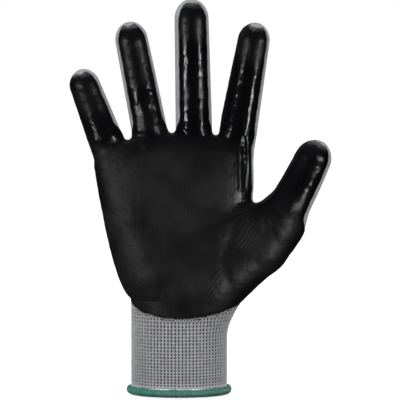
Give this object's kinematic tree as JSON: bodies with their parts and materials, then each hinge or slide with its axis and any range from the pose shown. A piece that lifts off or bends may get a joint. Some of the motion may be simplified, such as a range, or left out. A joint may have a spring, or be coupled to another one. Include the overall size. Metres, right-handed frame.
{
  "type": "coated work glove",
  "caption": "Right-hand knitted work glove with a smooth dipped palm and fingers, a ribbed elastic cuff and an overlocked hem; every finger bends at its fold lines.",
  "frame": {"origin": "centre of the cuff opening, at the bottom of the hem", "axes": "+Z from the cuff opening towards the fingertips, the palm faces -Y, the thumb is on the +X side"},
  "size_m": [0.1603, 0.0512, 0.2499],
  "materials": {
    "liner": "light grey 13-gauge knitted polyester yarn",
    "cuff": "light grey rib-knitted polyester yarn",
    "coating": "black dipped nitrile, smooth and glossy",
    "hem": "teal green overlock thread",
    "elastic": "covered elastic yarn"
  },
  "bodies": {
    "hand": {"liner_palm": "liner", "liner_cuff": "cuff", "cuff_elastic": "elastic", "hem_overlock": "hem", "coating_palm": "coating"},
    "little_lower": {"liner_little_lower": "liner", "coating_little_lower": "coating"},
    "little_middle": {"liner_little_middle": "liner", "coating_little_middle": "coating"},
    "little_tip": {"liner_little_tip": "liner", "coating_little_tip": "coating"},
    "ring_lower": {"liner_ring_lower": "liner", "coating_ring_lower": "coating"},
    "ring_middle": {"liner_ring_middle": "liner", "coating_ring_middle": "coating"},
    "ring_tip": {"liner_ring_tip": "liner", "coating_ring_tip": "coating"},
    "middle_lower": {"liner_middle_lower": "liner", "coating_middle_lower": "coating"},
    "middle_middle": {"liner_middle_middle": "liner", "coating_middle_middle": "coating"},
    "middle_tip": {"liner_middle_tip": "liner", "coating_middle_tip": "coating"},
    "index_lower": {"liner_index_lower": "liner", "coating_index_lower": "coating"},
    "index_middle": {"liner_index_middle": "liner", "coating_index_middle": "coating"},
    "index_tip": {"liner_index_tip": "liner", "coating_index_tip": "coating"},
    "thumb_lower": {"liner_thumb_lower": "liner", "coating_thumb_lower": "coating"},
    "thumb_tip": {"liner_thumb_tip": "liner", "coating_thumb_tip": "coating"}
  },
  "joints": [
    {"name": "little_knuckle", "type": "hinge", "parent": "hand", "child": "little_lower", "pos_m": [-0.04635, -0.01038, 0.162], "axis": [1, 0, 0], "range_deg": [0, 70], "stiffness_Nm_per_rad": 0.02},
    {"name": "little_middle_bend", "type": "hinge", "parent": "little_lower", "child": "little_middle", "pos_m": [-0.05119, -0.01056, 0.17688], "axis": [0.9511, 0, 0.309], "range_deg": [0, 80], "stiffness_Nm_per_rad": 0.02},
    {"name": "little_tip_bend", "type": "hinge", "parent": "little_middle", "child": "little_tip", "pos_m": [-0.05528, -0.01175, 0.18949], "axis": [0.9511, 0, 0.309], "range_deg": [0, 56], "stiffness_Nm_per_rad": 0.02},
    {"name": "ring_knuckle", "type": "hinge", "parent": "hand", "child": "ring_lower", "pos_m": [-0.01848, -0.01107, 0.1665], "axis": [1, 0, 0], "range_deg": [0, 70], "stiffness_Nm_per_rad": 0.02},
    {"name": "ring_middle_bend", "type": "hinge", "parent": "ring_lower", "child": "ring_middle", "pos_m": [-0.02289, -0.01172, 0.18915], "axis": [0.9816, 0, 0.1908], "range_deg": [0, 80], "stiffness_Nm_per_rad": 0.02},
    {"name": "ring_tip_bend", "type": "hinge", "parent": "ring_middle", "child": "ring_tip", "pos_m": [-0.027, -0.01408, 0.21029], "axis": [0.9816, 0, 0.1908], "range_deg": [0, 56], "stiffness_Nm_per_rad": 0.02},
    {"name": "middle_knuckle", "type": "hinge", "parent": "hand", "child": "middle_lower", "pos_m": [0.00938, -0.01153, 0.167], "axis": [1, 0, 0], "range_deg": [0, 70], "stiffness_Nm_per_rad": 0.02},
    {"name": "middle_middle_bend", "type": "hinge", "parent": "middle_lower", "child": "middle_middle", "pos_m": [0.00891, -0.01241, 0.19404], "axis": [0.9998, 0, 0.0175], "range_deg": [0, 80], "stiffness_Nm_per_rad": 0.02},
    {"name": "middle_tip_bend", "type": "hinge", "parent": "middle_middle", "child": "middle_tip", "pos_m": [0.00846, -0.01535, 0.21998], "axis": [0.9998, 0, 0.0175], "range_deg": [0, 56], "stiffness_Nm_per_rad": 0.02},
    {"name": "index_knuckle", "type": "hinge", "parent": "hand", "child": "index_lower", "pos_m": [0.03725, -0.01176, 0.1665], "axis": [1, 0, 0], "range_deg": [0, 70], "stiffness_Nm_per_rad": 0.02},
    {"name": "index_middle_bend", "type": "hinge", "parent": "index_lower", "child": "index_middle", "pos_m": [0.04069, -0.01225, 0.18927], "axis": [0.9888, 0, -0.1495], "range_deg": [0, 80], "stiffness_Nm_per_rad": 0.02},
    {"name": "index_tip_bend", "type": "hinge", "parent": "index_middle", "child": "index_tip", "pos_m": [0.04384, -0.0144, 0.21007], "axis": [0.9888, 0, -0.1495], "range_deg": [0, 56], "stiffness_Nm_per_rad": 0.02},
    {"name": "thumb_base_bend", "type": "hinge", "parent": "hand", "child": "thumb_lower", "pos_m": [0.0633, -0.02013, 0.1092], "axis": [0.7071, 0, -0.7071], "range_deg": [0, 40], "stiffness_Nm_per_rad": 0.02},
    {"name": "thumb_tip_bend", "type": "hinge", "parent": "thumb_lower", "child": "thumb_tip", "pos_m": [0.07277, -0.01892, 0.1292], "axis": [0.9168, 0, -0.3994], "range_deg": [0, 70], "stiffness_Nm_per_rad": 0.02}
  ],
  "couplings": [
    {"joint": "little_tip_bend", "follows": "little_middle_bend", "ratio": 0.7},
    {"joint": "ring_tip_bend", "follows": "ring_middle_bend", "ratio": 0.7},
    {"joint": "middle_tip_bend", "follows": "middle_middle_bend", "ratio": 0.7},
    {"joint": "index_tip_bend", "follows": "index_middle_bend", "ratio": 0.7}
  ]
}
